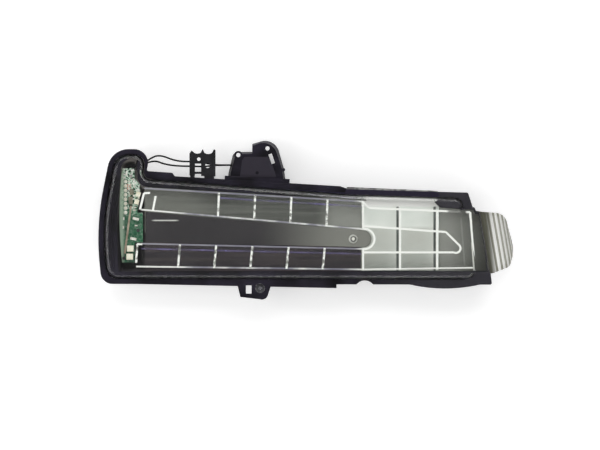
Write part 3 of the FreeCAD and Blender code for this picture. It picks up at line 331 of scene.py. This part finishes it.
# clear pieces: light rays for shade go straight through them, steep glass is rougher and more
# see-through, and a veil whitens chosen places
def clearMaterial(name, look, veil):
    material, tree = newMaterial(name)
    spots = lampSpots(tree, "Along", "Across", "Up", "Place")
    normal = bumped(tree, noise(tree, spots[3], look["waveSize"]), look["bump"])
    facing = addNode(tree, "ShaderNodeLayerWeight", {"Blend": 0.5}).outputs["Facing"]
    glass = addNode(tree, "ShaderNodeBsdfPrincipled", {
        "Transmission Weight": 1.0, "IOR": look["ior"], "Specular IOR Level": look["shine"],
        "Roughness": slope(tree, facing, *look["roughFrom"], look["rough"], look["steepRough"]),
        "Base Color": (*look["tint"], 1.0), "Normal": normal})
    straight = addNode(tree, "ShaderNodeBsdfTransparent", {"Color": (*look["through"], 1.0)})
    steep = slope(tree, facing, *look["steepFrom"], 0.0, look["steepShare"])
    glass = addNode(tree, "ShaderNodeMixShader", {
        0: steep, 1: glass.outputs[0], 2: straight.outputs[0]})
    share, colour = veil(tree, look, spots)
    white = addNode(tree, "ShaderNodeBsdfPrincipled", {
        "Base Color": colour, "Roughness": look["veilRough"], "Specular IOR Level": look["veilShine"],
        "Normal": normal})
    veiled = addNode(tree, "ShaderNodeMixShader", {
        0: share, 1: glass.outputs[0], 2: white.outputs[0]})
    path = addNode(tree, "ShaderNodeLightPath")
    passes = highest(tree, path.outputs["Is Shadow Ray"], path.outputs["Is Diffuse Ray"])
    surface(tree, addNode(tree, "ShaderNodeMixShader", {
        0: passes, 1: veiled.outputs[0], 2: straight.outputs[0]}))
    return material


def lensVeil(tree, look, spots):
    # painted light and shade: white and grey stripes by the way each flute faces, as light from one side
    # would fall, dark ones first, a clouded grey lip, and the dark weld at the foot
    along, across, up, place = spots
    leaned = lean(tree, across, look["slant"], along)
    facing = faced(tree)
    # painted shade: each flute's stripe is pale where it faces one way and grey where it faces the other
    bend = slope(tree, leaned, look["wrapStart"], look["wrapEnd"], 0.0, look["wrapTurn"])
    turned = calc(tree, "SUBTRACT", facing["X"], bend)
    stripe = slope(tree, turned, -look["stripeSoft"], 0.0)
    outward = slope(tree, lean(tree, across, look["clearSlant"], along), *look["clearFrom"])
    paler = blend(tree, outward, look["firstPale"], look["stripePale"])
    darker = blend(tree, outward, look["firstDark"], look["stripeDark"])
    fluted = blend(tree, stripe, darker, paler)
    tail = slope(tree, leaned, look["tailStart"], look["tailStart"] + look["tailSoft"])
    fade = slope(tree, leaned, look["tailStart"], look["wrapEnd"], *look["tailShare"])
    fade = product(tree, fade, slope(tree, stripe, 0.0, 1.0, 1.0, look["paleShare"]))
    tailShare = product(tree, tail, fade, slope(tree, facing["Z"], *look["upwardShare"]))
    # a grey lip, clouded paler in places, along the upper edge of the long band
    edge = lean(tree, along, look["lipFall"], across)
    lipShare = product(tree, within(tree, along, *look["lipAlong"]), within(tree, up, *look["lipUp"]),
                       slope(tree, edge, *look["lipFrom"]), look["lipShare"])
    cloud = slope(tree, noise(tree, place, look["cloudSize"], 3.0), *look["clouds"])
    lipTone = blend(tree, cloud, look["lipDark"], look["lipPale"])
    weld = product(tree, slope(tree, up, *look["weldUp"]), slope(tree, leaned, *look["weldAlong"]))
    colour = blend(tree, slope(tree, lipShare, *look["lipOver"]), look["weld"], lipTone)
    return highest(tree, tailShare, lipShare, weld), blend(tree, tail, colour, fluted)


def guideVeil(tree, look, spots):
    # painted light on the clear guide, standing in for the light its walls gather: bright beaded tops on
    # the cross ribs, thinner grey ones on the long walls, and faint purple painted reflections on the
    # inner walls
    along, across, up, place = spots
    top = slope(tree, faced(tree)["Z"], *look["topFaces"])
    rib = slope(tree, up, *look["ribUp"])
    wall = slope(tree, up, *look["wallUp"])
    inner = within(tree, up, *look["innerUp"])
    bead = slope(tree, noise(tree, place, look["beadSize"], 3.0), *look["beads"])
    drift = slope(tree, noise(tree, place, look["driftSize"], 3.0), *look["drifts"])
    # the painted light is brighter at both ends of the guide, duller in its middle, and dullest on each
    # arm's upper wall
    wallShine = highest(tree, slope(tree, along, *look["startBright"]),
                        slope(tree, along, *look["endBright"]), drift)
    level = lean(tree, along, look["armFall"], across)
    dull = highest(tree, slope(tree, level, *look["upperDull"]),
                   within(tree, across, *look["lowerDull"]))
    dull = product(tree, dull, slope(tree, along, *look["dullAlong"]))
    wallShine = product(tree, wallShine, calc(tree, "SUBTRACT", 1.0, dull))
    wallTone = blend(tree, wallShine, look["wallDark"], look["wallPale"])
    inlet = product(tree, slope(tree, along, *look["inletAlong"]),
                    slope(tree, across, *look["inletFrom"]))
    ribShine = highest(tree, slope(tree, along, *look["gridBright"]), inlet, bead)
    ribTone = blend(tree, ribShine, look["ribDark"], look["ribPale"])
    colour = blend(tree, inner, blend(tree, rib, wallTone, ribTone), look["innerTone"])
    share = highest(tree, product(tree, wall, slope(tree, wallShine, 0.0, 1.0, *look["wallShare"])),
                    product(tree, rib, slope(tree, ribShine, 0.0, 1.0, *look["ribShare"])),
                    product(tree, inner, slope(tree, drift, 0.0, 1.0, *look["innerShare"])))
    # the upper wall's painted light fades before the pointed end
    gone = product(tree, within(tree, along, *look["goneAlong"]),
                   slope(tree, across, *look["goneFrom"]), look["goneShare"])
    return product(tree, share, calc(tree, "SUBTRACT", 1.0, gone), top), colour


lensLook = {"tint": (0.99, 0.995, 0.99), "through": (0.985, 0.985, 0.985), "ior": 1.49, "rough": 0.02,
            "shine": 0.4, "waveSize": 0.05, "bump": 0.02, "veilRough": 0.4, "veilShine": 0.12,
            "steepFrom": (0.05, 0.4), "steepShare": 0.93, "roughFrom": (0.02, 0.3), "steepRough": 0.5,
            "slant": 0.17, "wrapStart": 217.4, "wrapEnd": 242.5, "wrapTurn": 0.96, "stripeSoft": 0.3,
            "tailStart": 225.5, "tailSoft": 1.5, "tailShare": (0.97, 0.6), "paleShare": 0.95,
            "upwardShare": (0.0, 0.5, 0.5, 1.0), "clearSlant": 0.11, "clearFrom": (226.6, 231.8),
            "firstDark": (70, 70, 60), "firstPale": (88, 88, 76), "stripeDark": (128, 128, 114),
            "stripePale": (255, 255, 252),
            "lipAlong": (137.0, 198.0, 3.0), "lipUp": (20.8, 22.1, 0.05), "lipFall": 0.02915,
            "lipFrom": (58.65, 58.9), "lipShare": 0.95, "lipOver": (0.1, 0.3), "lipDark": (96, 96, 96),
            "lipPale": (160, 160, 158), "cloudSize": 0.35, "clouds": (0.35, 0.65),
            "weld": (40, 36, 50), "weldUp": (23.0, 24.6, 1.0, 0.0),
            "weldAlong": (214.0, 220.0, 1.0, 0.0)}
guideLook = {"tint": (0.99, 0.995, 0.99), "through": (0.985, 0.985, 0.985), "ior": 1.49, "rough": 0.03,
             "shine": 0.5, "waveSize": 0.12, "bump": 0.08, "veilRough": 0.4, "veilShine": 0.4,
             "steepFrom": (0.5, 0.9), "steepShare": 0.2, "roughFrom": (0.5, 0.9), "steepRough": 0.1,
             "topFaces": (0.4, 0.8), "ribUp": (24.65, 24.85), "wallUp": (24.2, 24.4),
             "innerUp": (22.8, 23.4, 0.1), "beadSize": 0.5, "beads": (0.36, 0.56),
             "driftSize": 0.09, "drifts": (0.32, 0.68),
             "startBright": (40.0, 56.0, 1.0, 0.0), "endBright": (136.0, 154.0),
             "armFall": 0.081, "upperDull": (50.0, 52.0), "lowerDull": (15.0, 27.0, 0.5),
             "dullAlong": (146.0, 152.0, 0.8, 0.0), "inletAlong": (34.5, 38.0, 1.0, 0.0),
             "inletFrom": (28.0, 30.0), "gridBright": (148.0, 153.0),
             "wallDark": (150, 148, 166), "wallPale": (240, 242, 236), "wallShare": (0.6, 0.92),
             "ribDark": (150, 152, 144), "ribPale": (250, 252, 246), "ribShare": (0.6, 1.0),
             "innerTone": (116, 108, 156), "innerShare": (0.2, 0.6),
             "goneAlong": (201.0, 211.5, 1.5), "goneFrom": (37.5, 39.0), "goneShare": 0.85}
clearLens = clearMaterial("clearLens", lensLook, lensVeil)
smoothCopy("outer_lens", "clearCover", clearLens)
clearGuide = clearMaterial("clearGuide", guideLook, guideVeil)
smoothCopy("light_guide", "ribbedGuide", clearGuide)
print("clear pieces dressed")


# backing plate: a dark tongue that turns paler to the right under a painted soft highlight, with a pale
# streak, between greenish upper cells and warm lower cells that turn pale under the grid with the same
# painted highlight and dark again at the tail
def platePaint(tree, look, mask):
    along, across, up, place = lampSpots(tree, "Along", "Across", "Up", "Place")
    # painted soft highlight: the tongue turns from dark to pale towards the grid
    tongue = blend(tree, slope(tree, along, *look["tongueChange"]),
                   look["tongueDark"], look["tonguePale"])
    # painted reflection: a short pale streak of the arm's wall laid on the tongue
    streak = product(tree, within(tree, along, *look["streakAlong"]),
                     within(tree, across, *look["streakAcross"]), look["streakShare"])
    tongue = blend(tree, streak, tongue, look["edgeTone"])
    stretched = addNode(tree, "ShaderNodeMapping", {
        "Vector": place, "Scale": look["bandSize"]}, vector_type="POINT").outputs["Vector"]
    band = slope(tree, noise(tree, stretched, 1.0, 3.0), *look["bands"])
    upper = blend(tree, band, look["upperDark"], look["upperPale"])
    lower = blend(tree, band, look["lowerDark"], look["lowerPale"])
    upper = blend(tree, slope(tree, along, *look["upperFirst"]), upper, look["upperStart"])
    # painted soft highlight: the upper cells turn to the pale grid tone towards the grid, and every cell
    # under the grid takes it
    upper = blend(tree, slope(tree, along, *look["upperShine"]), upper, look["gridTone"])
    cells = blend(tree, slope(tree, across, *look["upperFrom"]), lower, upper)
    cells = blend(tree, slope(tree, along, *look["gridFrom"]), cells, look["gridTone"])
    cells = blend(tree, slope(tree, along, *look["tailFrom"]), cells, look["tailTone"])
    # a painted highlight of the guide's end edge runs along its whole length, with a faint painted light
    # line before it
    line = lean(tree, across, look["edgeLean"], along)
    faint = product(tree, within(tree, line, *look["faintAlong"]),
                    within(tree, across, *look["faintAcross"]), look["faintShare"])
    cells = blend(tree, faint, cells, look["faintTone"])
    edge = product(tree, within(tree, line, *look["edgeAlong"]),
                   within(tree, across, *look["edgeAcross"]))
    cells = blend(tree, edge, cells, look["edgeTone"])
    return blend(tree, slope(tree, up, *look["tongueUp"]), cells, tongue)


# reflector: a painted soft highlight makes the rows paler towards the upper edge and duller towards the
# lower, and each column paler to the right, with a painted shadow by each rib
def mirrorPaint(tree, look, mask):
    along, across = lampSpots(tree, "Along", "Across")
    rows = blend(tree, slope(tree, across, *look["lowRow"]), look["lowTone"], look["midTone"])
    rows = blend(tree, slope(tree, across, *look["highRow"]), rows, look["highTone"])
    ribs = calc(tree, "DIVIDE", calc(tree, "SUBTRACT", along, look["firstRib"]), look["pitch"])
    ribs = calc(tree, "FRACT", ribs)
    rows = blend(tree, slope(tree, ribs, *look["columnPales"]), rows, look["edgeTone"])
    rows = blend(tree, within(tree, ribs, *look["shade"]), rows, look["shadeTone"])
    rows = blend(tree, product(tree, mask, look["cloudShare"]), rows, look["cloudTone"])
    # painted reflection: a near-white strip along the upper edge
    return blend(tree, slope(tree, across, *look["stripRow"]), rows, look["stripTone"])


plateLook = {"tongueDark": (50, 48, 50), "tonguePale": (130, 131, 124), "tongueChange": (88.0, 146.0),
             "tongueUp": (14.6, 15.0), "streakAlong": (31.5, 45.5, 1.5),
             "streakAcross": (36.2, 36.9, 0.2), "streakShare": 0.7,
             "bandSize": (0.02, 0.45, 0.3), "bands": (0.35, 0.65),
             "upperDark": (86, 88, 83), "upperPale": (108, 110, 104), "upperStart": (130, 132, 124),
             "upperFirst": (46.0, 72.0, 0.6, 0.0), "upperShine": (124.0, 138.0, 0.0, 0.95),
             "upperFrom": (28.0, 32.0), "lowerDark": (44, 40, 45), "lowerPale": (64, 56, 58),
             "gridTone": (154, 156, 149), "gridFrom": (150.0, 153.0), "tailTone": (72, 73, 67),
             "tailFrom": (196.0, 224.0), "edgeLean": 0.078, "edgeAlong": (216.15, 217.05, 0.2),
             "edgeAcross": (7.6, 24.0, 0.5), "edgeTone": (240, 242, 234),
             "faintAlong": (211.0, 211.9, 0.3), "faintAcross": (11.0, 38.0, 1.5), "faintShare": 0.5,
             "faintTone": (164, 166, 160),
             "rough": (0.35, 0.5), "grain": 1800.0, "bump": 0.12, "specular": 0.3}
mirrorLook = {"lowTone": (182, 185, 176), "midTone": (208, 211, 202), "highTone": (250, 255, 247),
              "lowRow": (16.5, 19.5), "highRow": (31.0, 34.0), "firstRib": 152.2, "pitch": 21.3,
              "columnPales": (0.55, 0.98, 0.0, 0.45), "edgeTone": (236, 238, 230),
              "shade": (0.9, 0.965, 0.01), "shadeTone": (14, 14, 12), "cloudTone": (214, 226, 216),
              "cloudShare": 0.25, "stripTone": (254, 255, 250), "stripRow": (44.2, 44.8),
              "rough": (0.3, 0.45), "grain": 900.0, "bump": 0.1}
dress("backing_plate", plasticMaterial("darkPlate", plateLook, platePaint))
dress("reflector", plasticMaterial("mirrorCoat", mirrorLook, mirrorPaint))
print("plate and reflector dressed")


# circuit board: green with pale traces and pads in its busy upper part, a pale land round each
# soldered pin, and a copper patch by the row's head
def boardPaint(tree, look, mask):
    along, across, place = lampSpots(tree, "Along", "Across", "Place")
    green = blend(tree, mask, look["dark"], look["pale"])
    cells = addNode(tree, "ShaderNodeTexVoronoi", {"Vector": place, "Scale": look["traceSize"]},
                    feature="DISTANCE_TO_EDGE").outputs["Distance"]
    dots = addNode(tree, "ShaderNodeTexVoronoi", {
        "Vector": place, "Scale": look["padSize"]}).outputs["Distance"]
    # distance to the nearest pin of the row
    row = calc(tree, "DIVIDE", calc(tree, "SUBTRACT", across, look["pinTop"]), look["pinPitch"])
    row = product(tree, calc(tree, "PINGPONG", row, 0.5), look["pinPitch"])
    column = calc(tree, "SUBTRACT", along, look["pinAlong"])
    squares = calc(tree, "ADD", calc(tree, "POWER", row, 2.0), product(tree, column, column))
    away = calc(tree, "SQRT", squares)
    pinLow = look["pinTop"] - (look["pins"] - 0.5) * look["pinPitch"]
    pins = within(tree, across, pinLow, look["pinTop"] + look["rowEnd"], look["rowSoft"])
    land = product(tree, slope(tree, away, *look["land"]), pins)
    bare = product(tree, slope(tree, away, *look["bare"]), pins)
    busy = product(tree, slope(tree, across, *look["busy"]), calc(tree, "SUBTRACT", 1.0, bare))
    traces = product(tree, slope(tree, cells, *look["traces"]), busy)
    green = blend(tree, traces, green, look["trace"])
    pads = product(tree, slope(tree, dots, *look["pads"]), busy)
    green = blend(tree, pads, green, look["pad"])
    green = blend(tree, land, green, look["pad"])
    patches = slope(tree, noise(tree, place, look["copperSize"]), *look["copperPatches"])
    warm = product(tree, within(tree, across, *look["copperAcross"]),
                   within(tree, along, *look["copperAlong"]), patches)
    green = blend(tree, warm, green, look["copper"])
    return blend(tree, slope(tree, along, *look["edge"]), green, look["edgeTone"])


def rivetPaint(tree, look, mask):
    # rings around the rivet's centre: bright head, dark ring, pale rim
    low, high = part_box("guide_rivet")
    place = addNode(tree, "ShaderNodeTexCoord").outputs["Object"]
    centre = ((low.x + high.x) / 2 / mm, (low.y + high.y) / 2 / mm, 0.0)
    flat = addNode(tree, "ShaderNodeVectorMath", {0: place, 1: (1 / mm, 1 / mm, 0.0)},
                   operation="MULTIPLY")
    away = addNode(tree, "ShaderNodeVectorMath", {0: flat.outputs[0], 1: centre},
                   operation="DISTANCE").outputs["Value"]
    rings = blend(tree, slope(tree, away, *look["ringFrom"]), look["head"], look["ring"])
    rings = blend(tree, slope(tree, away, *look["rimFrom"]), rings, look["rim"])
    return blend(tree, product(tree, mask, look["dullShare"]), rings, look["ring"])


boardLook = {"dark": (14, 66, 42), "pale": (34, 98, 66), "trace": (216, 240, 220),
             "pad": (255, 255, 246), "traceSize": 0.5, "traces": (0.06, 0.15, 1.0, 0.0), "padSize": 0.62,
             "pads": (0.32, 0.44, 1.0, 0.0), "busy": (38.0, 50.0, 0.06, 1.0),
             "pins": 8, "pinTop": 58.9, "pinPitch": 2.54, "pinAlong": 15.7, "rowEnd": 1.3,
             "rowSoft": 0.1, "land": (1.0, 1.15, 1.0, 0.0), "bare": (1.3, 2.0, 0.9, 0.0),
             "copper": (214, 96, 50), "copperAcross": (54.5, 57.5, 0.3),
             "copperAlong": (16.6, 19.0, 0.3), "copperSize": 1.6, "copperPatches": (0.45, 0.55),
             "edge": (13.5, 15.7, 0.9, 0.0), "edgeTone": (166, 188, 164),
             "rough": (0.35, 0.5), "grain": 900.0, "wave": 160.0, "bump": 0.2, "specular": 0.35}
rivetLook = {"head": (244, 244, 236), "ring": (84, 86, 80), "rim": (206, 208, 200),
             "ringFrom": (0.8, 1.1), "rimFrom": (1.5, 1.9), "dullShare": 0.3,
             "rough": (0.2, 0.3), "grain": 900.0, "wave": 500.0, "bump": 0.1}
solderLook = {"dark": (226, 222, 200), "pale": (252, 251, 238), "rough": (0.2, 0.35), "grain": 900.0,
              "wave": 300.0, "bump": 0.2}
flexLook = {"dark": (128, 116, 98), "pale": (176, 160, 140), "rough": (0.4, 0.5), "grain": 900.0,
            "wave": 250.0, "bump": 0.1}
ledLook = {"dark": (232, 228, 200), "pale": (250, 248, 232), "rough": (0.35, 0.5), "grain": 900.0,
           "wave": 400.0, "bump": 0.1}
chipLook = {"dark": (108, 108, 92), "pale": (150, 146, 126), "rough": (0.4, 0.5), "grain": 900.0,
            "wave": 300.0, "bump": 0.1}
paleLook = {"dark": (200, 198, 184), "pale": (246, 246, 238), "rough": (0.4, 0.5), "grain": 900.0,
            "wave": 300.0, "bump": 0.1}
brassLook = {"dark": (150, 130, 80), "pale": (190, 170, 110), "rough": (0.25, 0.4), "grain": 900.0,
             "bump": 0.1, "metal": 0.9}
dress("circuit_board", plasticMaterial("boardGreen", boardLook, boardPaint))
smoothCopy("header_pins", "solderedPins", plasticMaterial("solderTin", solderLook),
           smoothing["roundSharp"])
dress("link_strip", plasticMaterial("tanFlex", flexLook))
ledCream = plasticMaterial("ledCream", ledLook)
chipPale = plasticMaterial("chipPale", paleLook)
for name, material in (("upper_leds", ledCream), ("lower_leds", ledCream), ("resistors", chipPale),
                       ("capacitors", chipPale)):
    dress(name, material)
dress("driver_chips", plasticMaterial("chipGrey", chipLook))
dress("guide_rivet", plasticMaterial("rivetRings", rivetLook, rivetPaint))
dress("connector_contacts", plasticMaterial("contactBrass", brassLook))
print("board dressed")

# camera straight over the lamp: its centre in the lamp's millimetres, the rest in metres
viewLook = {"centre": (115.98, 33.93), "width": 0.345, "height": 0.8}
camera = bpy.data.objects.new("camera", bpy.data.cameras.new("camera"))
bpy.context.collection.objects.link(camera)
camera.data.type = "ORTHO"
camera.data.ortho_scale = viewLook["width"]
camera.location = (*spot(*viewLook["centre"]), viewLook["height"])
bpy.context.scene.camera = camera

# floor, studio walls and three wide lamps: name, place, size in metres and power in watts
lightLook = {"zenith": 0.12, "horizon": 0.9, "floor": (0.9, 0.9, 0.9, 1.0), "floorGlow": 0.34,
             "floorHalf": 3.0,
             "lamps": [("overLamp", (0.0, 0.55, 0.6), (1.0, 0.5), 3.6),
                       ("leftLamp", (-0.6, -0.1, 0.45), (0.5, 0.9), 2.4),
                       ("nearLamp", (0.15, -0.6, 0.5), (0.9, 0.5), 2.0)]}


def makeFloor(look):
    # a plain square that glows a little where the camera sees it, straight, mirrored or through glass
    half = look["floorHalf"]
    mesh = bpy.data.meshes.new("floor")
    mesh.from_pydata([(-half, -half, 0), (half, -half, 0), (half, half, 0), (-half, half, 0)], [],
                     [(0, 1, 2, 3)])
    floor = bpy.data.objects.new("floor", mesh)
    bpy.context.collection.objects.link(floor)
    material, tree = newMaterial("paleFloor")
    path = addNode(tree, "ShaderNodeLightPath")
    seen = highest(tree, path.outputs["Is Camera Ray"], path.outputs["Is Transmission Ray"],
                   path.outputs["Is Glossy Ray"])
    diffuse = addNode(tree, "ShaderNodeBsdfDiffuse", {"Color": look["floor"]})
    glow = addNode(tree, "ShaderNodeEmission", {"Strength": product(tree, seen, look["floorGlow"])})
    surface(tree, addNode(tree, "ShaderNodeAddShader", {0: diffuse.outputs[0], 1: glow.outputs[0]}))
    mesh.materials.append(material)


def makeWorld(look):
    # studio walls: pale at the horizon and dim overhead, white where the camera sees them
    world = bpy.data.worlds.new("studio")
    world.use_nodes = True
    tree = world.node_tree
    tree.nodes.clear()
    height = addNode(tree, "ShaderNodeSeparateXYZ", {
        0: addNode(tree, "ShaderNodeTexCoord").outputs["Generated"]}).outputs["Z"]
    level = slope(tree, height, 0.0, 1.0, look["horizon"], look["zenith"])
    path = addNode(tree, "ShaderNodeLightPath")
    shown = addNode(tree, "ShaderNodeMix", {
        0: path.outputs["Is Camera Ray"], 2: level, 3: 1.0}, data_type="FLOAT").outputs[0]
    back = addNode(tree, "ShaderNodeBackground", {"Color": (1, 1, 1, 1), "Strength": shown})
    out = addNode(tree, "ShaderNodeOutputWorld")
    tree.links.new(back.outputs[0], out.inputs["Surface"])
    bpy.context.scene.world = world


def makeLamp(name, place, size, power):
    data = bpy.data.lights.new(name, "AREA")
    data.shape = "RECTANGLE"
    data.size, data.size_y = size
    data.energy = power
    lamp = bpy.data.objects.new(name, data)
    bpy.context.collection.objects.link(lamp)
    lamp.location = place
    lamp.rotation_euler = (-Vector(place)).to_track_quat("-Z", "Y").to_euler()


makeFloor(lightLook)
makeWorld(lightLook)
for lamp in lightLook["lamps"]:
    makeLamp(*lamp)
bpy.context.scene.view_settings.view_transform = "Standard"
print("camera and light set")
